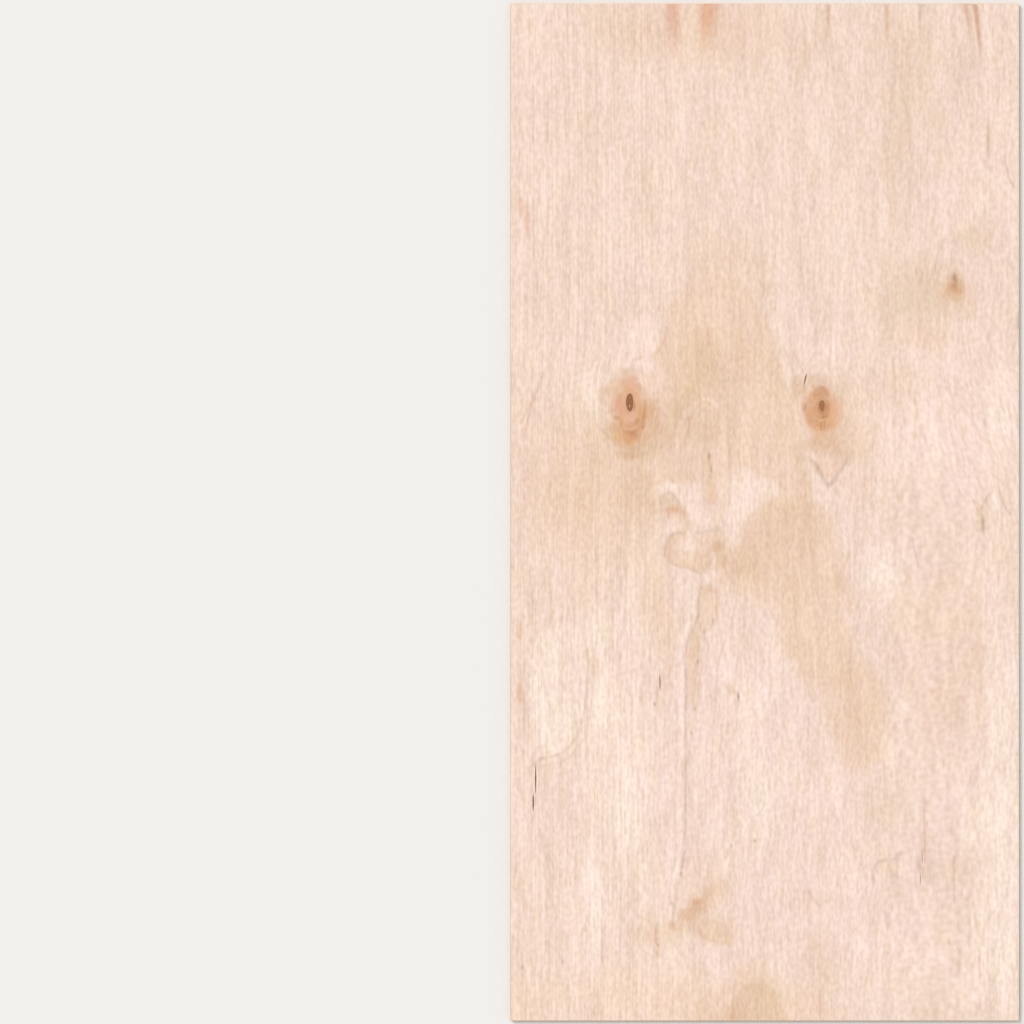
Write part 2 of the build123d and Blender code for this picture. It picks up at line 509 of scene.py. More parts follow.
spot(-275, -1012, 62, 24, light_tan, 0.8, 0.6)
spot(-258, -1048, 12, 22, light_tan, 1, 0.6)
streak([(1, -667), (-7, -705), (-31, -734), (-52, -760), (-71, -787), (-88, -825), (-95, -873)],
        14.5, white, 0.75)
# The domed stain at the near end, in a wide soft halo
patch([(-179, -1243), (-146, -1152), (-103, -1113), (-47, -1099), (13, -1104), (61, -1132), (92, -1243)],
       light_tan, 0.85, 22)
spot(118, -1176, 53, 62, sand, 0.8, 0.7)
spot(70, -1166, 29, 58, light_tan, 0.6, 0.7)
spot(166, -1200, 34, 29, light_tan, 0.6)
spot(382, -1195, 34, 29, wood, 0.6)
patch([(-79, -1243), (-71, -1183), (-64, -1161), (-50, -1142), (-31, -1135), (-7, -1135), (13, -1142),
       (27, -1156), (41, -1180), (53, -1243)], deep_tan, 0.9, 7)
spot(-79, -1204, 29, 36, honey, 0.85)
spot(-86, -1219, 19, 22, rust, 0.5)
spot(-117, -1214, 34, 29, tan, 0.7)
# The hook-shaped ring and its orange-brown eye
spot(-232, 31, 22, 16, olive, 0.95, 0.5)
spot(-230, 24, 14, 8, honey, 0.35)
spot(-217, 8, 22, 11, caramel, 0.85, 0.7, -12)
spot(-218, -7, 19, 10, rust, 0.3, 0.7)
spot(-218, 7, 19, 10, salmon, 0.5, 0.8, -12)
spot(-201, -10, 10, 12, honey, 0.6)
spot(-211, -31, 12, 14, cream, 0.6)
spot(-215, -12, 14, 12, sand, 0.8, 0.6)
spot(-225, -29, 17, 12, pink, 0.8, 0.7)
spot(-203, -29, 10, 17, light_tan, 0.8, 0.7)
spot(-235, -43, 10, 12, pale, 0.8, 0.5)
# The closed ring, with a pink and cream middle, a tan rim and a honey-coloured patch on its right
patch([(-194, -50), (-213, -53), (-227, -60), (-235, -70), (-239, -82), (-239, -98), (-235, -113),
       (-225, -122), (-203, -132), (-179, -137), (-160, -146), (-146, -144), (-134, -130), (-124, -115),
       (-115, -98), (-98, -82), (-95, -55), (-103, -41), (-127, -46), (-146, -48), (-165, -55)],
       light_tan, 0.85, 6)
spot(-182, -77, 22, 17, pink, 0.85, 0.7)
spot(-184, -98, 19, 14, cream, 0.5, 0.7)
spot(-146, -113, 22, 19, tan, 0.8, 0.7)
spot(-170, -120, 29, 12, tan, 0.6, 0.7)
spot(-127, -60, 22, 12, tan, 0.6)
streak([(-194, -55), (-213, -58), (-225, -67), (-232, -84), (-232, -103), (-225, -118), (-203, -126),
        (-179, -131), (-158, -137), (-143, -132)], 12, deep_tan, 0.7)
spot(-112, -84, 19, 19, honey, 1, 0.7)
spot(-103, -115, 14, 26, honey, 1, 0.7)
spot(-117, -84, 12, 12, rust, 0.4)
spot(-98, -127, 7.2, 12, rust, 0.3)
streak([(-122, -103), (-122, -122)], 7, white, 0.8)
spot(-148, -142, 17, 10, deep_tan, 0.7, 0.7)
spot(-134, -161, 12, 22, pink, 0.8, 0.7)
spot(-107, -168, 12, 26, light_tan, 0.8, 0.7)
# A pale place by a hooked line, a check's olive rim, and dun and olive places by the right edge
spot(298, -852, 29, 12, cream, 0.9, 0.6)
spot(389, -864, 10, 24, olive, 0.8, 0.6)
spot(370, -847, 5.8, 21.6, dusk, 0.5, 0.9)
spot(380, -175, 14, 43, dun, 0.8, 0.6)
spot(516, -22, 14, 34, olive, 0.9, 0.7)
spot(524, -29, 4.8, 21.6, brown, 0.45, 0.9)
spot(516, 5, 10, 12, rust, 0.3, 0.6)
spot(485, -19, 14, 24, dun, 0.8, 0.6)
spot(552, 19, 12, 22, white, 0.8, 0.6)
# Red-brown and dark streaks at the ends and edges of the sheet
spot(-218, 1228, 17, 125, rust, 0.8)
spot(-134, 1228, 24, 106, rust, 0.9, 0.7)
spot(-179, 1228, 14, 72, olive, 0.6, 0.7)
spot(-146, 1204, 7.2, 134.3, rust, 0.5, 0.9)
spot(152, 1223, 5.3, 81.6, ring, 0.5)
spot(291, 1223, 6.2, 96, ring, 0.5, 0.8, -2)
spot(372, 1219, 4.8, 76.8, dusk, 0.6)
spot(483, 1223, 6.2, 96, ring, 0.6, 0.8, -6)
spot(507, 1200, 7.2, 124.7, ring, 0.7, 0.8, -7)
spot(495, 1180, 5.8, 81.6, olive, 0.6, 0.8, -6)
spot(507, 1080, 10, 34, olive, 0.7, 0.7)
spot(536, 892, 4.3, 62.4, dusk, 0.6)
streak([(574, 856), (581, 825), (588, 796), (598, 780)], 5, brown, 0.3)
streak([(608, 475), (608, 444)], 5, brown, 0.4)
spot(-570, 701, 7.2, 43.2, rust, 0.6, 0.6)
spot(-585, 734, 7.2, 28.8, rust, 0.5, 0.6)
spot(-587, -288, 7.2, 28.8, rust, 0.6, 0.6)
spot(-587, -437, 7.2, 33.6, rust, 0.6, 0.6)
# Single dark specks, where a pin hole or a short vessel lies open
speck_width = 2.5
speck_length = 6
for x, y in (
    (-161, -359), (-167, -473), (-175, -530), (-201, -868), (-223, -938), (-132, 134), (-124, -262),
    (-145, -288), (-256, -1039), (-484, -1080), (-580, -1092), (-23, -789), (-63, -443), (-264, -461),
    (-250, 156), (-278, 185),
):
    spot(x, y, speck_width, speck_length, brown, 0.6, 0.9)

# The growth rings
# Where the knife cut through a swelling of the log, the yearly rings come to the face as thin closed or
# wavy lines. Each is a little darker than the wood, and many have a paler line beside them.
# The arches between the two knots, with a short dark slit in the middle
streak([(-179, 249), (-191, 226), (-201, 199), (-206, 173), (-211, 144)], 9.5, cream, 0.85)
streak([(-182, 226), (-182, 209), (-183, 192)], 5, ring, 0.35)
streak([(-179, 249), (-163, 264), (-141, 271), (-122, 261), (-107, 238), (-99, 211), (-94, 173),
        (-91, 130), (-89, 77), (-91, 29), (-100, -2), (-119, -22)], 9.5, cream, 0.9)
streak([(-184, 173), (-177, 226), (-160, 254), (-141, 264), (-122, 254), (-110, 226), (-105, 173),
        (-105, 120), (-110, 91)], 6, ring, 0.15)
streak([(-85, 163), (-85, 125), (-83, 77), (-85, 19)], 4.5, dusk, 0.4)
streak([(-170, 197), (-163, 230), (-146, 245), (-131, 242), (-119, 221), (-115, 178), (-117, 134)],
        6, ring, 0.12)
streak([(-134, 154), (-131, 101), (-127, 53)], 12, honey, 0.25)
streak([(-135, 142), (-134, 125), (-130, 110), (-129, 98)], 4.5, brown, 0.6)
streak([(-129, 98), (-129, 62)], 4, ring, 0.35)
# The hook and the closed ring below the arches
streak([(-239, 44), (-230, 47), (-220, 42), (-213, 34), (-208, 22)], 7, dusk, 0.55)
streak([(-251, 22), (-249, 34), (-242, 43)], 7, dusk, 0.2)
streak([(-194, -2), (-187, -17), (-184, -34), (-194, -50)], 9.5, honey, 0.8)
streak([(-199, -50), (-213, -53), (-225, -59), (-233, -70), (-238, -83), (-239, -98), (-235, -113),
        (-225, -124), (-203, -131), (-179, -136), (-160, -144), (-146, -142), (-134, -127), (-124, -113)],
        5.5, dusk, 0.3)
streak([(-238, -74), (-240, -89), (-239, -106)], 6, dusk, 0.35)
streak([(-225, -54), (-213, -50), (-201, -50)], 6, dusk, 0.35)
streak([(-163, -139), (-148, -143), (-136, -132)], 7, olive, 0.8)
streak([(-160, -50), (-143, -46), (-127, -44), (-112, -40), (-98, -36)], 8, dusk, 0.3)
# The channel that runs down from the ring
streak([(-153, -182), (-158, -211), (-160, -245), (-167, -271), (-179, -293), (-187, -319), (-189, -355),
        (-188, -403), (-189, -475), (-190, -619), (-191, -763), (-195, -828), (-199, -854)],
        5.5, dusk, 0.55)
streak([(-199, -849), (-203, -876), (-211, -907), (-215, -938), (-223, -981)], 5.5, dusk, 0.38)
streak([(-153, -182), (-134, -178), (-117, -187), (-115, -221), (-117, -252), (-129, -276), (-148, -293),
        (-158, -312), (-158, -345), (-153, -374), (-158, -413), (-163, -463), (-165, -499)],
        6, honey, 0.6)
streak([(-129, -134), (-129, -158), (-134, -180)], 6, honey, 0.5)
streak([(-69, -211), (-81, -271), (-103, -331), (-115, -403), (-122, -499), (-127, -619)], 4.5, ring, 0.25)
streak([(-50, -211), (-50, -278), (-64, -343), (-74, -427), (-67, -499), (-83, -571)], 4, ring, 0.2)
# The point below the second knot, and the folds of its grain
spot(147, 108, 34, 29, tan, 0.85, 0.6)
streak([(113, 125), (125, 110), (137, 89), (152, 65), (169, 84), (188, 110), (209, 139)], 9.5, dusk, 0.75)
streak([(125, 110), (137, 89), (152, 65)], 7, dusk, 0.4)
streak([(22, 384), (41, 336), (56, 288), (68, 240), (82, 192), (101, 149)], 7, honey, 0.45)
streak([(44, 398), (63, 350), (77, 302), (87, 278)], 6, ring, 0.2)
streak([(34, 374), (53, 317), (68, 264), (82, 211), (99, 168), (116, 130)], 9.5, pink, 0.5)
streak([(68, 384), (82, 355), (94, 331)], 5, honey, 0.6)
# Round the pale tongue, down to the long split
streak([(-426, -331), (-424, -379), (-429, -451), (-438, -499), (-450, -535), (-477, -571), (-515, -588),
        (-539, -590)], 6, dusk, 0.4)
streak([(-414, -307), (-410, -379), (-417, -463), (-426, -516), (-441, -552), (-470, -588), (-510, -605),
        (-549, -609)], 5, dusk, 0.18)
streak([(-520, -588), (-554, -605), (-573, -631)], 7, honey, 0.5)
# Thin dark lines in other places
streak([(-4, -653), (1, -681), (-2, -708), (-19, -729)], 5, brown, 0.2)
streak([(-81, -799), (-93, -830)], 5, dusk, 0.5)
streak([(-64, -437), (-64, -453)], 4.5, brown, 0.5)
spot(-83, -427, 12, 17, honey, 0.5, 0.6)
spot(-88, -398, 12, 14, pale, 0.6, 0.6)
streak([(260, -892), (260, -864), (269, -844), (288, -835), (312, -832), (324, -820)], 8, dusk, 0.45)
streak([(109, -914), (118, -931), (133, -945)], 7, dusk, 0.4)
streak([(-88, -1228), (-79, -1180), (-67, -1159), (-52, -1142), (-31, -1134), (-7, -1134), (15, -1142),
        (32, -1156), (44, -1178), (56, -1228)], 6, honey, 0.5)
streak([(-158, -1005), (-146, -1022), (-124, -1029), (-98, -1032)], 7, honey, 0.5)
streak([(382, -686), (384, -763), (384, -840)], 4.5, ring, 0.4)
streak([(454, -830), (454, -936)], 4.5, ring, 0.35)
streak([(514, -1034), (516, -1116)], 4.5, ring, 0.35)
streak([(133, -1147), (133, -1228)], 5, ring, 0.45)
streak([(-261, -993), (-261, -1032)], 4.5, ring, 0.6)
streak([(-390, -926), (-390, -1080)], 4.5, ring, 0.3)
streak([(-258, -422), (-258, -465)], 4.5, ring, 0.6)
streak([(-261, -211), (-256, -307), (-251, -427)], 4.5, ring, 0.25)
streak([(-539, -763), (-530, -811), (-518, -859), (-510, -907)], 5, ring, 0.25)
streak([(-314, 365), (-290, 372), (-268, 377), (-249, 398), (-232, 437)], 6, ring, 0.25)
streak([(500, 26), (512, 19)], 5, brown, 0.2)
streak([(521, 10), (528, 26), (538, 43)], 5, brown, 0.22)
streak([(562, 58), (567, 36), (576, 14), (588, -5)], 5, brown, 0.25)
streak([(430, 653), (411, 600), (387, 525)], 5, ring, 0.25)
streak([(353, -62), (360, -91), (368, -130)], 4.5, brown, 0.22)
streak([(-554, 276), (-585, 214)], 5, ring, 0.3)
streak([(-530, 333), (-561, 252), (-578, 173)], 5, ring, 0.3)
# Long pale lines
streak([(-383, -403), (-381, -595), (-383, -835)], 6, white, 0.7)
streak([(-333, -595), (-330, -763), (-333, -931)], 6, white, 0.7)
streak([(-290, -691), (-287, -931)], 5.5, white, 0.6)
streak([(-462, -835), (-458, -1075)], 6, white, 0.5)
streak([(528, 365), (548, 257), (564, 149)], 7, white, 0.4)
streak([(540, 245), (560, 185), (576, 125)], 7, white, 0.35)
streak([(-112, -705), (-127, -777), (-146, -859), (-158, -919)], 9.5, pale, 0.8)
streak([(229, 101), (243, 29), (267, -43)], 6, pale, 0.5)

# The knots
# A branch grew through the log, so the peeled ribbon shows the same knot once a turn, further across.
# Its wood is red-brown round a dark core, with rings about it, and the grain of the veneer bends round it.
log_turn = 461
second_core_drop = 8
first_knot = (-324, 263)
second_knot = (first_knot[0] + log_turn, first_knot[1] - second_core_drop)
pin_knot = (456, 554)


def marks_from(knot):
    """The spot and the streak whose places are counted from a knot."""
    return partial(spot, at=knot), partial(streak, at=knot)


first_spot, first_streak = marks_from(first_knot)
second_spot, second_streak = marks_from(second_knot)
pin_spot, pin_streak = marks_from(pin_knot)
# Tan and honey-coloured wood about the first knot
first_spot(-4, -66, 72, 96, tan, 0.8)
first_spot(-59, 20, 22, 34, deep_tan, 0.75, 0.7)
first_spot(-45, 32, 14, 19, deep_tan, 0.8)
first_spot(49, 54, 19, 22, tan, 0.85, 0.7)
first_spot(37, 22, 11, 22, deep_tan, 0.7)
first_spot(-38, -16, 12, 19, honey, 0.75)
first_spot(-47, -71, 19, 29, deep_tan, 0.7, 0.7)
first_spot(-95, -90, 38, 38, light_tan, 0.8, 0.7)
first_spot(-42, 51, 19, 17, light_tan, 0.8, 0.7)
first_spot(1, 68, 34, 17, tan, 0.8, 0.7)
first_spot(54, -33, 22, 62, caramel, 0.95)
first_spot(46, -105, 31, 38, honey, 0.8, 0.9)
first_spot(10, -119, 24, 31, caramel, 0.8, 0.9)
first_spot(34, 51, 11, 12, cream, 0.9, 0.5)
first_spot(22, 37, 9, 12, honey, 0.8, 0.7)
first_spot(-4, -126, 26, 19, caramel, 0.8)
first_spot(-41, 10, 6.7, 21.6, pale, 0.65, 0.6)
# Its body, salmon above and orange below, with golden wood on its right and lower left and thin rings
# under the core
first_spot(-6, 8, 38, 55, salmon, 1, 0.6)
first_spot(-28, 1, 14, 29, rust, 0.7)
first_spot(1, 42, 22, 12, rust, 0.3)
first_spot(-18, -21, 17, 19, rust, 0.5)
first_spot(27, -25, 17, 38, gold, 1)
first_spot(32, -42, 7.2, 24, orange, 0.5)
first_spot(45, -16, 7.2, 24, gold, 0.7)
first_spot(20, 27, 12, 14, rust, 0.4)
first_spot(-62, 61, 17, 22, pale, 0.7, 0.7)
first_spot(-2, -81, 31, 31, gold, 0.95, 0.6)
first_spot(3, -66, 31, 29, orange, 0.65)
first_spot(-2, -81, 24, 17, orange, 0.4)
first_spot(-30, -64, 19, 29, gold, 0.6, 0.9)
first_spot(-42, -69, 12, 22, honey, 0.8, 0.7)
first_spot(3, -73, 10.8, 6.2, amber, 0.6, 0.9)
first_streak([(-23, -37), (-9, -43), (6, -43), (20, -35)], 6, salmon, 0.7)
first_streak([(-14, -60), (1, -64), (15, -59)], 6.5, salmon, 0.95)
first_spot(25, -59, 7.2, 14.4, orange, 0.7)
first_spot(-28, -49, 19, 22, gold, 0.5, 0.9)
first_spot(-44, -43, 10, 12, cream, 0.7)
first_streak([(10, -53), (18, -46), (20, -39)], 6, amber, 0.6)
first_streak([(-6, -70), (6, -71), (18, -66)], 6, amber, 0.5)
first_streak([(-26, 39), (-11, 49), (3, 55), (18, 56)], 7, rust, 0.35)
first_streak([(37, 1), (37, -35)], 6.5, amber, 0.95)
first_streak([(33, -35), (33, -61)], 6, amber, 0.7)
first_streak([(21, -66), (21, -124)], 6, dusk, 0.4)
first_streak([(-52, -52), (-45, -76), (-30, -95), (-14, -109)], 7, honey, 0.6)
first_streak([(-30, -93), (-18, -100), (-2, -105), (15, -100)], 6, cream, 0.5)
first_streak([(-28, -100), (-14, -108), (3, -112)], 6, caramel, 0.5)
first_spot(-26, -90, 14, 19, gold, 0.85)
first_spot(-30, -71, 10, 12, gold, 0.5)
first_spot(30, -83, 12, 19, gold, 0.4)
first_spot(10, -9, 5.8, 12, amber, 0.7)
first_spot(-22, 32, 8, 10, cream, 0.5)
first_spot(1, -97, 26, 12, gold, 0.7)
first_spot(3, -126, 14, 22, caramel, 0.8)
first_spot(32, -136, 14, 14, honey, 0.6)
first_spot(-26, -133, 7.2, 14.4, honey, 0.7)
first_spot(6, 54, 14, 10, rust, 0.4)
first_spot(-21, 27, 10, 17, honey, 0.35)
first_spot(42, -83, 17, 19, caramel, 0.6)
first_spot(20, -131, 19, 19, honey, 0.4)
first_streak([(-76, -54), (-62, -71), (-42, -90)], 4.5, brown, 0.15)
first_spot(-32, -37, 9.6, 7.2, amber, 0.6, 0.9)
first_spot(-20, -52, 4.8, 12, amber, 0.5, 0.9)
first_spot(18, -45, 8.6, 7.2, amber, 0.55, 0.9)
first_spot(1, -2, 13, 29, amber, 0.6)
first_spot(0, -8, 3.8, 5.8, ring, 0.6, 0.3)
# The second knot: tan wood about it and the pointed fold below
second_spot(3, -20, 65, 82, tan, 0.8, 0.7)
second_spot(5, -77, 43, 31, caramel, 0.95)
second_spot(29, -106, 53, 34, deep_tan, 0.9)
second_spot(24, -145, 26, 38, sand, 0.8, 0.7)
second_spot(56, -34, 19, 53, tan, 0.6, 0.7)
second_spot(41, 23, 10, 26, olive, 1, 0.5)
second_spot(63, 35, 12, 22, light_tan, 0.8, 0.7)
second_spot(-14, 45, 12, 7.2, caramel, 0.8)
second_spot(-26, -68, 10, 8, rust, 0.3)
second_spot(68, 76, 14, 14, sand, 0.8, 0.7)
second_spot(-43, 35, 10, 17, honey, 0.8)
second_spot(-33, -75, 12, 17, pink, 0.6)
second_spot(-19, 62, 26, 17, deep_tan, 0.7, 0.7)
second_spot(-62, 42, 14, 38, deep_tan, 0.8)
second_spot(-52, 45, 12, 24, honey, 0.6)
second_spot(8, -97, 38, 24, caramel, 0.5)
second_spot(17, 54, 24, 17, tan, 0.7, 0.7)
# Its rounder body, with a dark dome over the core and a golden foot
second_spot(2, -12, 46, 54, salmon, 0.9, 0.6)
second_spot(-26, -6, 19, 34, rust, 0.7)
second_spot(-24, -6, 19, 34, gold, 0.5)
second_spot(-33, -29, 10, 17, gold, 0.4, 0.9)
second_spot(-24, 4, 14, 19, rust, 0.35)
second_spot(-2, 23, 26, 25, gold, 0.75, 0.5)
second_spot(-4, 33, 19, 17, amber, 0.3)
second_spot(-14, -25, 24, 24, orange, 0.7)
second_spot(3, -39, 38, 24, gold, 1, 0.7)
second_spot(3, -49, 31, 12, orange, 0.45)
second_spot(-21, -37, 14, 14, amber, 0.2)
second_spot(15, -8, 12, 22, amber, 0.7)
second_spot(29, -13, 12, 24, salmon, 0.8, 0.7)
second_spot(2, -3, 14, 22, amber, 0.6, 0.9)
second_spot(0, 2, 12, 18, brown, 0.35, 0.9)
second_spot(-42, -3, 5.3, 12, brown, 0.5)
second_streak([(-42, 23), (-43, 4), (-38, -17), (-26, -38), (-14, -52), (0, -59), (17, -53)], 6, gold, 0.35)
second_spot(-43, 50, 4.3, 8.2, dusk, 0.5)
second_spot(-16, 47, 10.8, 7.2, caramel, 0.5)
second_spot(26, 24, 5.8, 8.6, cream, 0.3, 0.9)
second_spot(-50, 4, 7.2, 9.6, salmon, 0.4)
second_spot(44, -17, 6, 9.6, honey, 0.5)
second_spot(56, -34, 7.2, 12, cream, 0.5)
second_spot(-43, -38, 6, 12, cream, 0.4, 0.9)
second_streak([(3, -13), (3, -27)], 7, amber, 0.8)
second_streak([(-9, -26), (3, -29), (12, -25)], 5, ring, 0.7)
second_spot(0, -35, 7.2, 3.8, gold, 0.9, 0.5)
second_streak([(-2, -41), (-2, -58)], 4, ring, 0.8)
second_streak([(6, -39), (6, -58)], 4, ring, 0.7)
second_streak([(-19, 26), (-14, 38), (-2, 44), (10, 38), (15, 26)], 7, amber, 0.4)
second_spot(-3, 30, 16, 14, amber, 0.45)
second_streak([(29, 33), (30, 9)], 4, ring, 0.4)
second_streak([(44, 4), (44, -22), (36, -41), (22, -56)], 7, gold, 0.4)
second_spot(58, -8, 7.2, 14.4, cream, 0.8, 0.6)
second_streak([(-55, 33), (-57, -1), (-52, -34), (-38, -68), (-19, -87)], 5, ring, 0.15)
second_spot(-28, -87, 12, 12, rust, 0.25, 0.6)
second_streak([(-38, 90), (-4, 114), (39, 105), (72, 71)], 9.5, pale, 0.5)
second_streak([(-52, 110), (-19, 136), (24, 138), (68, 114)], 9.5, pale, 0.4)
# The pin knot, a dark eye in a small tan cloud
pin_spot(-4, -36, 53, 48, tan, 0.7)
pin_spot(-12, 22, 34, 34, olive, 0.5, 0.7)
pin_spot(0, -24, 36, 29, honey, 0.9)
pin_spot(3, -29, 26, 19, caramel, 0.8)
pin_spot(-2, -12, 17, 24, rust, 0.8, 0.9)
pin_spot(0, -24, 19, 12, orange, 0.5, 0.9)
pin_spot(-1, 0, 7.2, 24, brown, 0.62, 0.9)
pin_spot(3, -38, 14, 12, honey, 0.7, 0.6)
pin_streak([(-31, -7), (-19, -2), (-7, 0)], 7, honey, 0.6)
pin_streak([(-31, -38), (-16, -31), (-4, -21)], 8, honey, 0.7)
pin_streak([(17, -43), (32, -53), (41, -55)], 7, honey, 0.5)


def oval(x, y, middle, across, along, lean=0.0):
    """How far out in an oval each point lies, 0 at its middle and 1 on its rim. It leans clockwise."""
    turn = math.radians(lean)
    dx = x - middle[0]
    dy = y - middle[1]
    over = dx * math.cos(turn) - dy * math.sin(turn)
    up = dx * math.sin(turn) + dy * math.cos(turn)
    return np.hypot(over / across, up / along)


def ease(value, start, end):
    """0 before start, 1 after end, and a smooth rise between."""
    t = np.clip((value - start) / (end - start), 0, 1)
    return t * t * (3 - 2 * t)


wave_count = 7
wave_sum = 4


def wander(x, y, size, seed, stretch=3.0):
    """A smooth drift between about -1 and 1, the sum of a few waves, drawn out along the grain."""
    draw = np.random.default_rng(seed)
    total = np.zeros_like(x)
    for _ in range(wave_count):
        wave = draw.uniform(0.5, 1.6) * 2 * math.pi / size
        heading = draw.uniform(0, 2 * math.pi)
        ahead = x * math.cos(heading) + y * math.sin(heading) / stretch
        total += np.sin(wave * ahead + draw.uniform(0, 6.28))
    return total / wave_sum


# The slow drift of the fibres, and how far they fan out to the right of the second knot
fibre_drift = 5
fan_out = 85
fan_far_end, fan_near_end = 420, -60
fan_start, fan_full = 270, 560


def grain_line(x, y):
    """Where across the sheet the fibres at each point run, once their bend round the knots is taken out."""
    line = x + fibre_drift * wander(x, y, 420, 11, 4)
    for (kx, ky), push, spread, reach, along in (
        (first_knot, 30, 32, 110, 95),
        (second_knot, 24, 28, 70, 85),
        (pin_knot, 10, 11, 34, 60),
    ):
        dx = x - kx
        bend = push * np.tanh(dx / spread) * np.exp(-np.abs(dx) / reach)
        line = line - bend * np.exp(-(((y - ky) / along) ** 2))
    return line - fan_out * (1 - ease(y, fan_near_end, fan_far_end)) * ease(x, fan_start, fan_full)


# The open splits and the knot cores
# The face veneer has torn open along the grain in places, down to the crossed ply glued under it, and the
# two knot cores have dried, cracked and sunk a little below the sanded face.
split_step = 2.0
pockets = []


def slit(middle, length, gap, lean=0.0, ragged=0.35):
    """The outline of a crack along the grain, pointed at both ends, with slightly torn sides."""
    draw = np.random.default_rng(round(length * 10 + gap))
    steps = max(6, round(length / split_step))
    along = np.linspace(-length / 2, length / 2, steps + 1)
    bulge = gap / 2 * (1 - (2 * along / length) ** 2)
    tear = ragged * draw.uniform(-1, 1, (2, steps + 1)) * bulge / (gap / 2)
    right = [(b + t, a) for a, b, t in zip(along, bulge, tear[0])]
    left = [(-b + t, a) for a, b, t in zip(along[::-1], bulge[::-1], tear[1][::-1])]
    turn = math.radians(lean)
    ring = np.array(right + left[1:-1])
    over = ring[:, 0] * math.cos(turn) + ring[:, 1] * math.sin(turn)
    up = -ring[:, 0] * math.sin(turn) + ring[:, 1] * math.cos(turn)
    return np.stack([over + middle[0], up + middle[1]], 1)


def core_outline(middle, width, length, ragged, corners=28):
    """The outline of a sunk knot core or its pith, a slightly uneven oval."""
    draw = np.random.default_rng(corners)
    turn = np.arange(corners) / corners * 2 * math.pi
    out = 1 + ragged * np.sin(3 * turn + draw.uniform(0, 6)) * draw.uniform(0.5, 1, corners)
    over = width / 2 * out * np.cos(turn)
    up = length / 2 * out * np.sin(turn)
    return np.stack([middle[0] + over, middle[1] + up], 1)


# The two cores, with the stub of pith that stands in the first one
core_sink = 0.8
knot_core_width = 17.5
knot_core_length = 43
second_core_width = 13
second_core_length = 26
pith_width = 4
pith_length = 7
pith_drop = 9
pith_corners = 12
pith = core_outline((first_knot[0], first_knot[1] - pith_drop), pith_width, pith_length, 0.1, pith_corners)
core = core_outline(first_knot, knot_core_width, knot_core_length, 0.05)
second_core = core_outline(second_knot, second_core_width, second_core_length, 0.06)
pockets.append((core, pith, core_sink, core_finish))
pockets.append((second_core, None, core_sink, second_core_finish))

# The splits, as deep as the face veneer is thick
long_split_from_left = 60.5
long_split_from_near_end = 579
long_split_length = 72
long_split_gap = 2.8
lower_run_length = 46
lower_run_gap = 3.2
lower_run_step = 6
run_overlap = 3
short_split_from_left = 358.5
short_split_from_near_end = 812.5
short_split_length = 40
short_split_gap = 2.6
tear_left_of_knot = 39.5
tear_above_knot = 64.5
tear_length = 29
tear_gap = 3.4
tear_lean = 13
check_from_right = 237
check_from_near_end = 339.5
check_length = 36
check_gap = 1.4
check_rag = 0.15
check_step_across = 4.5
check_step_along = 52
long_split = (-half_width + long_split_from_left, -half_length + long_split_from_near_end)
lower_run_drop = (long_split_length + lower_run_length) / 2 - run_overlap
lower_run = (long_split[0] - lower_run_step, long_split[1] - lower_run_drop)
short_split = (-half_width + short_split_from_left, -half_length + short_split_from_near_end)
tear = (second_knot[0] - tear_left_of_knot, second_knot[1] + tear_above_knot)
check = (half_width - check_from_right, -half_length + check_from_near_end)
upper_check = (check[0] + check_step_across, check[1] + check_step_along)
for outline, finish in (
    (slit(long_split, long_split_length, long_split_gap), split_finish),
    (slit(lower_run, lower_run_length, lower_run_gap), split_finish),
    (slit(short_split, short_split_length, short_split_gap), narrow_finish),
    (slit(tear, tear_length, tear_gap, tear_lean), narrow_finish),
    (slit(check, check_length, check_gap, 0, check_rag), narrow_finish),
    (slit(upper_check, check_length, check_gap, 0, check_rag), narrow_finish),
):
    pockets.append((outline, None, face_veneer, finish))


# The sanded face
# The veneer on the upper side, peeled from the log as one ribbon, glued on across the ply under it and
# sanded. Its mesh has points close together by knots, lines and splits and wide apart in plain wood, so
# that each mark has its real outline, and the splits and knot cores are real hollows.
def from_path(x, y, path):
    """For each point, its distance from a path, positive on the path's left-hand side."""
    best = np.full(x.shape, 1e9)
    side = np.ones_like(x)
    for (ax, ay), (bx, by) in zip(path, path[1:]):
        dx, dy = bx - ax, by - ay
        span = dx * dx + dy * dy
        if span == 0:
            continue
        t = np.clip(((x - ax) * dx + (y - ay) * dy) / span, 0, 1)
        off = np.hypot(x - ax - t * dx, y - ay - t * dy)
        nearer = off < best
        best = np.where(nearer, off, best)
        side = np.where(nearer, np.sign(dx * (y - ay) - dy * (x - ax)), side)
    return best * side


def within(x, y, outline):
    """Whether each point lies inside a closed outline."""
    inside_it = np.zeros(len(x), bool)
    for (ax, ay), (bx, by) in zip(outline, np.roll(outline, -1, axis=0)):
        if ay == by:
            continue
        crosses = (y > min(ay, by)) & (y <= max(ay, by))
        inside_it ^= crosses & (x < ax + (y - ay) * (bx - ax) / (by - ay))
    return inside_it


def near(x, y, path, margin):
    """Which points lie within a margin of the box round a path."""
    close = (x > path[:, 0].min() - margin) & (x < path[:, 0].max() + margin)
    return close & (y > path[:, 1].min() - margin) & (y < path[:, 1].max() + margin)


def closed(outline):
    """An outline with its first point once more at its end."""
    return np.concatenate([outline, outline[:1]])


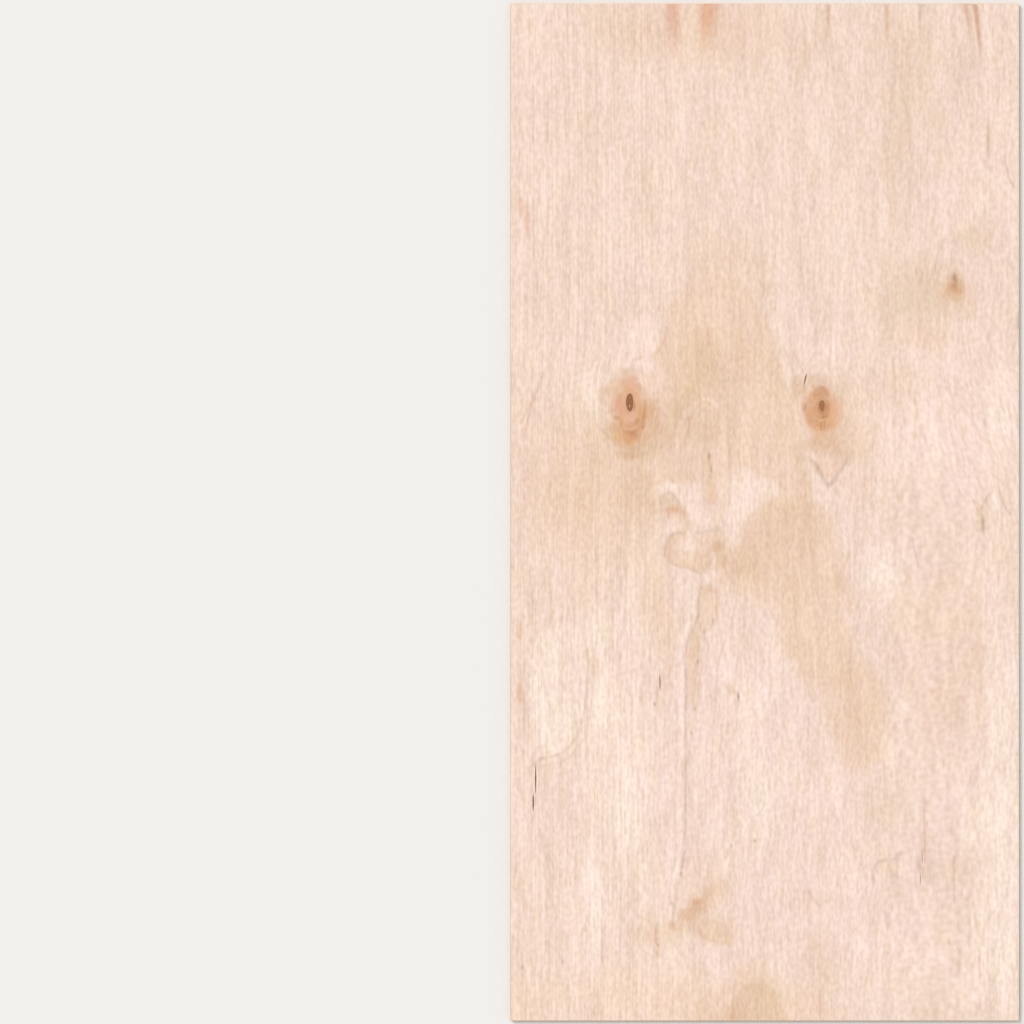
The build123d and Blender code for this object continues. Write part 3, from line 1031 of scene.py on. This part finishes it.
# How far apart the points of the mesh may lie at each place
knot_areas = [((first_knot[0], first_knot[1] - 24), 58, 104), ((second_knot[0], second_knot[1] - 4), 58, 70)]
knot_rim_pitch = 2
closest = 3.0
pocket_pitch = 1.5
pocket_reach = 1.2
line_reach = 1.2
easing_off = 0.35
mark_reach = 60
column, row = np.meshgrid(np.arange(across_cells + 1), np.arange(along_cells + 1), indexing="ij")
column = column.ravel()
row = row.ravel()
grid_x = (2 * column / across_cells - 1) * (half_width - arris)
grid_y = (2 * row / along_cells - 1) * (half_length - arris)
spacing = np.full(grid_x.shape, float(widest * finest))
taken = np.zeros(grid_x.shape, bool)
for middle, across, along in knot_areas:
    out = (oval(grid_x, grid_y, middle, across, along) - 1) * min(across, along)
    taken |= out < 1
    spacing = np.minimum(spacing, knot_rim_pitch + easing_off * np.maximum(out, 0))
for kind, shape, _, _, soft in marks:
    if kind == "spot":
        mx, my, across, along, lean = shape
        wanted = max(closest, 0.4 * min(across, along) * (0.3 + soft))
        out = np.maximum(oval(grid_x, grid_y, (mx, my), across, along, lean) - 1.2, 0) * min(across, along)
        spacing = np.minimum(spacing, wanted + easing_off * out)
        continue
    close = near(grid_x, grid_y, shape, mark_reach)
    off = np.abs(from_path(grid_x[close], grid_y[close], shape))
    if kind == "patch":
        wide = soft
        wanted = max(closest, 0.7 * soft)
    else:
        wide = line_reach * soft
        wanted = max(closest, soft / 2)
        taken[close] |= off < wide
    spacing[close] = np.minimum(spacing[close], wanted + easing_off * np.maximum(off - wide, 0))
for outline, _, _, _ in pockets:
    close = near(grid_x, grid_y, outline, mark_reach)
    off = np.abs(from_path(grid_x[close], grid_y[close], closed(outline)))
    spacing[close] = np.minimum(spacing[close], pocket_pitch + easing_off * off)
    taken[close] |= off < pocket_reach

# Points on the lattice, close together in the knots, and in rows along the lines
knot_pitch = 1.7
ribbon_rows = (-1.0, -0.5, 0.0, 0.5, 1.0)
rim_gap = 1
outline_gap = 0.5
chosen = np.zeros(grid_x.shape, bool)
for step in (widest, widest // 2, widest // 4, widest // 8):
    chosen |= (column % step == 0) & (row % step == 0) & (spacing < step * finest + 1)
chosen &= ~taken
face_points = [np.stack([grid_x[chosen], grid_y[chosen]], 1)]
for middle, across, along in knot_areas:
    columns = np.arange(-across, across, knot_pitch)
    rows = np.arange(-along, along, knot_pitch)
    knot_x, knot_y = np.meshgrid(columns, rows)
    fits = np.hypot(knot_x / across, knot_y / along) < 1
    face_points.append(np.stack([knot_x[fits] + middle[0], knot_y[fits] + middle[1]], 1))
for kind, path, _, _, soft in marks:
    if kind != "streak":
        continue
    heading = np.gradient(path, axis=0)
    heading /= np.maximum(np.linalg.norm(heading, axis=1), 1e-6)[:, None]
    outward = np.stack([-heading[:, 1], heading[:, 0]], 1)
    for share in ribbon_rows:
        placed = path + share * soft * outward
        free = np.ones(len(placed), bool)
        for middle, across, along in knot_areas:
            free &= oval(placed[:, 0], placed[:, 1], middle, across, along) > 1.02
        face_points.append(placed[free])
face_points = np.concatenate(face_points)
clear = np.abs(face_points[:, 0]) < half_width - arris - rim_gap
clear &= np.abs(face_points[:, 1]) < half_length - arris - rim_gap
for outline, island, _, _ in pockets:
    for edge in (outline, island):
        if edge is not None:
            off = from_path(face_points[:, 0], face_points[:, 1], closed(edge))
            clear &= np.abs(off) > outline_gap
face_points = face_points[clear]

# The face is filled, the floors of the openings and the knot cores are sunk, and walls join them to the face
outlines = [edge for outline, island, _, _ in pockets for edge in (outline, island) if edge is not None]
made, triangles, made_from = fill(top_ring, face_points, outlines)
number = lay(made, made_from, thickness, top_ring)
flat = np.array([tuple(p) for p in made])
middles = flat[np.array(triangles)].mean(axis=1)
pocket_of = np.full(len(triangles), -1)
for k, (outline, island, _, _) in enumerate(pockets):
    inside_pocket = within(middles[:, 0], middles[:, 1], outline)
    if island is not None:
        inside_pocket &= ~within(middles[:, 0], middles[:, 1], island)
    pocket_of[inside_pocket] = k
sunk_number = {}
for triangle, k in zip(triangles, pocket_of):
    if k < 0:
        faces.append(tuple(number[p] for p in triangle))
        finish_of.append(face_finish)
        continue
    _, _, depth, finish = pockets[k]
    for p in triangle:
        if p not in sunk_number:
            sunk_number[p] = len(vertices)
            vertices.append((made[p].x, made[p].y, thickness - depth))
    faces.append(tuple(sunk_number[p] for p in triangle))
    finish_of.append(finish)
side_of = {}
for triangle, k in zip(triangles, pocket_of):
    for a, b in zip(triangle, (*triangle[1:], triangle[0])):
        side_of[(a, b)] = k
for (a, b), k in side_of.items():
    if k >= 0 and side_of.get((b, a), k) < 0:
        faces.append((sunk_number[b], sunk_number[a], number[a], number[b]))
        finish_of.append(pockets[k][3])

places = np.array(vertices)
mesh = bpy.data.meshes.new("sanded_sheet")
mesh.from_pydata((places * mm).tolist(), [], faces)
mesh.polygons.foreach_set("material_index", np.array(finish_of, np.int32))
sheet = bpy.data.objects.new("sanded_sheet", mesh)
bpy.context.scene.collection.objects.link(sheet)

# The flat map that the looks are baked on: the two faces side by side, with the sawn edges in strips by them
map_border = 0.005
map_gap = 0.006
face_share = 0.945
back_share = 0.84
strip_share = 0.04
skin = 0.4
corner_point = np.empty(len(mesh.loops), np.int32)
mesh.loops.foreach_get("vertex_index", corner_point)
corner_count = np.empty(len(faces), np.int32)
mesh.polygons.foreach_get("loop_total", corner_count)
face_middle = np.empty(len(faces) * 3)
mesh.polygons.foreach_get("center", face_middle)
from_side, from_end, height = np.repeat(face_middle.reshape(-1, 3) / mm, corner_count, axis=0).T
on_right = from_side > 0
at_far_end = from_end > 0
from_side = half_width - np.abs(from_side)
from_end = half_length - np.abs(from_end)
on_back = height < skin
on_rim = (np.minimum(from_side, from_end) < rim_gap) & ~on_back & (height < thickness - skin)
on_long_edge = on_rim & (from_side < from_end)
on_end = on_rim & ~on_long_edge
across, along, up = places[corner_point].T
scale = face_share / (2 * half_length)
back_scale = back_share / (2 * half_length)
strip_scale = strip_share / thickness
back_start = map_border + 2 * half_width * scale + map_gap
strip_start = back_start + 2 * half_width * back_scale + map_gap
map_x = map_border + (across + half_width) * scale
map_y = map_border + (along + half_length) * scale
map_x = np.where(on_back, back_start + (half_width - across) * back_scale, map_x)
map_y = np.where(on_back, map_border + (along + half_length) * back_scale, map_y)
map_x = np.where(on_long_edge & on_right, strip_start + (thickness - up) * strip_scale, map_x)
map_x = np.where(on_long_edge & ~on_right, strip_start + strip_share + map_gap + up * strip_scale, map_x)
map_x = np.where(on_end & at_far_end, map_border + (half_width - across) * scale, map_x)
map_x = np.where(on_end & ~at_far_end, back_start + (across + half_width) * scale, map_x)
map_y = np.where(on_end, map_border + face_share + map_gap + up * strip_scale, map_y)
flat_map = mesh.uv_layers.new(name="OFBake")
flat_map.data.foreach_set("uv", np.stack([map_x, map_y], 1).astype(np.float32).ravel())

# Each mark dyes the points that it covers, and its rim wanders a little, apart from the rims by the knots
steady_spot = 60
steady_rim = 20
bend_reach = 40
hair = 0.01
x = places[:, 0]
y = places[:, 1]
on_face = places[:, 2] > thickness - face_veneer - hair
far_from_knots = ease(np.minimum(oval(x, y, first_knot, 60, 110), oval(x, y, second_knot, 60, 80)), 0.8, 1.5)
bend_x = far_from_knots * (8 * wander(x, y, 90, 21, 2.5) + 3 * wander(x, y, 26, 22, 3))
bend_y = far_from_knots * (20 * wander(x, y, 130, 23, 2.5) + 8 * wander(x, y, 30, 24, 3))
stain = np.ones((len(places), 3))


def dye(where, colour, cover):
    """Lays a colour on the wood at some points, by how far the mark covers each of them."""
    ratio = np.array(paint(*colour)[:3]) / np.array(paint(*wood)[:3])
    stain[where] += cover[:, None] * (ratio - stain[where])


def swayed(where, sway):
    """The places of some points, moved by the wander of the rims, in full for a sway of 1 or more."""
    sway = min(1.0, sway)
    return x[where] + sway * bend_x[where], y[where] + sway * bend_y[where]


for kind, shape, colour, strength, soft in marks:
    if kind == "spot":
        mx, my, across, along, lean = shape
        close = on_face & (np.hypot(x - mx, y - my) < 1.6 * max(across, along) + bend_reach)
        bent_x, bent_y = swayed(close, min(across, along) / steady_spot)
        out = oval(bent_x, bent_y, (mx, my), across, along, lean)
        dye(close, colour, strength * (1 - ease(out, 1 - soft, 1 + 0.5 * soft)))
    elif kind == "patch":
        close = on_face & near(x, y, shape, mark_reach)
        bent_x, bent_y = swayed(close, soft / steady_rim)
        out = np.abs(from_path(bent_x, bent_y, shape))
        out = np.where(within(bent_x, bent_y, shape[:-1]), -out, out)
        dye(close, colour, strength * (1 - ease(out, -soft, soft)))
    else:
        close = on_face & near(x, y, shape, 3 * soft)
        off = from_path(x[close], y[close], shape)
        # A line is worn thin in places
        worn = np.clip(0.85 + 0.4 * wander(x[close], y[close], 50, len(shape), 1.5), 0.3, 1.1)
        dye(close, colour, strength * worn * np.exp(-((off / (0.6 * soft)) ** 2)))

# What the looks read at each point: the line of its fibres, how far out from a knot it lies, and its stain
plain_wood = 3
first_ring = oval(x, y, (first_knot[0] + 2, first_knot[1] - 16), 40, 80)
second_ring = oval(x, y, (second_knot[0], second_knot[1] - 7), 46, 56)
knot_ring = np.minimum(np.minimum(first_ring, second_ring), plain_wood)
knot_ring = np.where(on_face, knot_ring, plain_wood)
for name, values in (("grain", grain_line(x, y) * mm), ("knot", knot_ring)):
    layer = mesh.attributes.new(name, "FLOAT", "POINT")
    layer.data.foreach_set("value", values.astype(np.float32))
layer = mesh.attributes.new("stain", "FLOAT_COLOR", "POINT")
stain = np.concatenate([stain, np.ones((len(stain), 1))], 1)
layer.data.foreach_set("color", stain.astype(np.float32).ravel())


# The finish of the two faces
# Bare birch veneer, cream to faintly pink, with fine streaks where the knife cut through the vessels.
# It is sanded and left unfinished, so it is matt, with a slight silkiness along the fibres.
def layer_of(tree, name, output="Fac"):
    """A value or a colour that the sheet's mesh carries at each of its points."""
    return put(tree, "ShaderNodeAttribute", attribute_name=name).outputs[output]


# Where the combed fibres start and how soon they are full, in metres, and the rings round a knot
combed_start = -0.1
combed_rise = 0.2
ring_count = 34
ring_unrest = 8
face_relief = 0.0002


def veneer(name, shift):
    """Sanded birch veneer, with stains and knots where the mesh carries them. shift moves its streaks."""
    look, tree, shader = new_look(name)
    plus, minus, times = sums(tree)
    here = put(tree, "ShaderNodeSeparateXYZ", {0: put(tree, "ShaderNodeTexCoord").outputs["Object"]})
    place = put(tree, "ShaderNodeCombineXYZ", {0: layer_of(tree, "grain"), 1: here.outputs["Y"]}).outputs[0]
    fleck = streaks(tree, place, 8, 14, 0.0, shift)
    vessel = streaks(tree, place, 7, 38, 0.0, shift + 5)
    line = streaks(tree, place, 11, 170, 1.0, shift + 9)
    band = streaks(tree, place, 26, 130, 1.0, shift + 13)
    wide = streaks(tree, place, 60, 320, 1.0, shift + 15)
    fibre = streaks(tree, place, 1.6, 28, 1.0, shift + 17)
    pore = streaks(tree, place, 0.6, 9, 0.0, shift + 27)
    # Towards the left edge of the sheet the fibres run in long straight lines
    left_side = work(tree, "DIVIDE", minus(combed_start, here.outputs["X"]), combed_rise, True)
    combed = times(streaks(tree, place, 5, 900, 0.0, shift + 19), left_side)
    parts = (
        (fleck, 0.24), (vessel, 0.19), (line, 0.18), (band, 0.18),
        (wide, 0.17), (fibre, 0.09), (pore, 0.14), (combed, 0.20),
    )
    # The wood of a knot lies across the other fibres and shows fewer streaks
    knot = layer_of(tree, "knot")
    calm = minus(times(knot, 0.9), 0.15, True)
    tone = 0.0
    for part, weight in parts:
        tone = plus(times(part, weight), tone)
    tone = plus(times(tone, calm), 0.5)
    # From the darker streaks to the pale wood between them
    ramp = put(tree, "ShaderNodeValToRGB", {0: tone})
    ramp.color_ramp.elements[0].position = 0.2
    ramp.color_ramp.elements[0].color = paint(222, 192, 175)
    ramp.color_ramp.elements[1].position = 0.65
    ramp.color_ramp.elements[1].color = paint(255, 230, 219)
    ramp.color_ramp.elements.new(0.5).color = paint(245, 217, 204)
    colour = ramp.outputs[0]
    # Faintly yellower and pinker places
    small_blush = plus(streaks(tree, place, 22, 80, 1.0, shift + 21), 0.5)
    large_blush = times(streaks(tree, place, 90, 200, 1.0, shift + 23), 0.7)
    blush = plus(large_blush, small_blush, True)
    blush = tint(tree, paint(253, 255, 243), paint(254, 253, 253), blush)
    colour = tint(tree, colour, blush, 1.0, "MULTIPLY")
    # Short dark ticks, where a vessel was cut open
    tick = minus(-0.27, streaks(tree, place, 4, 30, 0.0, shift + 25))
    tick = times(tick, 3.0, True)
    colour = tint(tree, colour, paint(234, 214, 200), tick, "MULTIPLY")
    # The stains, taken up a little less along some vessels
    held = plus(times(vessel, calm), 0.98, True)
    colour = tint(tree, colour, layer_of(tree, "stain", "Color"), held, "MULTIPLY")
    # Fine rings round each knot, which fade outwards
    rings = plus(times(knot, ring_count), times(vessel, ring_unrest))
    rings = plus(work(tree, "SINE", rings), 1)
    rings = times(rings, minus(1.15, knot, True))
    colour = tint(tree, colour, paint(232, 202, 180), times(rings, 0.15, True), "MULTIPLY")
    tree.links.new(colour, shader.inputs["Base Color"])
    tree.links.new(plus(times(fibre, 0.3), 0.6), shader.inputs["Roughness"])
    shader.inputs["Specular IOR Level"].default_value = 0.3
    height = plus(vessel, fibre)
    relief = put(tree, "ShaderNodeBump", {"Strength": 0.5, "Distance": face_relief, "Height": height})
    tree.links.new(relief.outputs[0], shader.inputs["Normal"])
    return look


def opened(name, dark, light):
    """The floor and walls of a split or a sunk knot core: dark, rough wood that the sanding didn't reach. In
    a split the darkness is partly dust and glue stain and partly painted shade for the depth of the crack;
    in a knot core it is the knot's own dark wood.
    """
    look, tree, shader = new_look(name)
    here = put(tree, "ShaderNodeTexCoord").outputs["Object"]
    rough = put(tree, "ShaderNodeTexNoise", {"Vector": here, "Scale": 420.0, "Detail": 2.0}).outputs["Fac"]
    tree.links.new(tint(tree, dark, light, rough), shader.inputs["Base Color"])
    shader.inputs["Roughness"].default_value = 0.85
    shader.inputs["Specular IOR Level"].default_value = 0.15
    return look


mesh.materials.append(veneer("birch_face", 0))
mesh.materials.append(veneer("birch_back", 40))
mesh.materials.append(sawn_edge("sawn_long_edge", "Y", 1))
mesh.materials.append(sawn_edge("sawn_end", "X", 0))
# The dark floors and walls of the splits are partly dust and glue stain and partly painted shade for the
# depth of the cracks
mesh.materials.append(opened("split_floor_dust_and_shade", paint(84, 58, 42), paint(140, 104, 78)))
mesh.materials.append(opened("narrow_split_dust_and_shade", paint(128, 94, 70), paint(184, 146, 116)))
mesh.materials.append(opened("first_knot_core", paint(112, 68, 44), paint(190, 134, 96)))
mesh.materials.append(opened("second_knot_core", paint(140, 84, 52), paint(196, 136, 96)))
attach(sheet, "root")
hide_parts("plywood_sheet")

# The studio
# A plain pale floor under the sheet, soft even light from above and round about, and a camera that looks
# straight down, with the sheet in the right-hand half of the frame.
floor_size = 30.0
floor_mesh = bpy.data.meshes.new("floor")
floor_corners = [(-floor_size, -floor_size, 0), (floor_size, -floor_size, 0),
                 (floor_size, floor_size, 0), (-floor_size, floor_size, 0)]
floor_mesh.from_pydata(floor_corners, [], [(0, 1, 2, 3)])
floor = bpy.data.objects.new("floor", floor_mesh)
bpy.context.scene.collection.objects.link(floor)
floor_look, tree, shader = new_look("pale_floor")
shader.inputs["Base Color"].default_value = paint(242, 240, 237)
shader.inputs["Roughness"].default_value = 0.9
floor_mesh.materials.append(floor_look)

room_light = 0.6
world = bpy.data.worlds.new("soft_room")
world.use_nodes = True
world.node_tree.nodes["Background"].inputs["Color"].default_value = (1, 1, 1, 1)
world.node_tree.nodes["Background"].inputs["Strength"].default_value = room_light
bpy.context.scene.world = world

lamp_tilt = math.radians(35)
lamp_turn = math.radians(-45)
lamp_spread = math.radians(25)
lamp_data = bpy.data.lights.new("softbox", "SUN")
lamp_data.angle = lamp_spread
lamp_data.energy = (1 - room_light) * math.pi / math.cos(lamp_tilt)
lamp = bpy.data.objects.new("softbox", lamp_data)
lamp.rotation_euler = (0, -lamp_tilt, lamp_turn)
bpy.context.scene.collection.objects.link(lamp)

mm_per_pixel = 2.399
frame_pixels = 1024
sheet_middle_pixel = 764.75
distance = 12.0
camera_data = bpy.data.cameras.new("camera")
camera_data.sensor_width = 36
camera_data.lens = camera_data.sensor_width * distance / (frame_pixels * mm_per_pixel * mm)
camera = bpy.data.objects.new("camera", camera_data)
camera.location = ((frame_pixels / 2 - sheet_middle_pixel) * mm_per_pixel * mm, 0, thickness * mm + distance)
bpy.context.scene.collection.objects.link(camera)
bpy.context.scene.camera = camera
bpy.context.scene.view_settings.view_transform = "Standard"
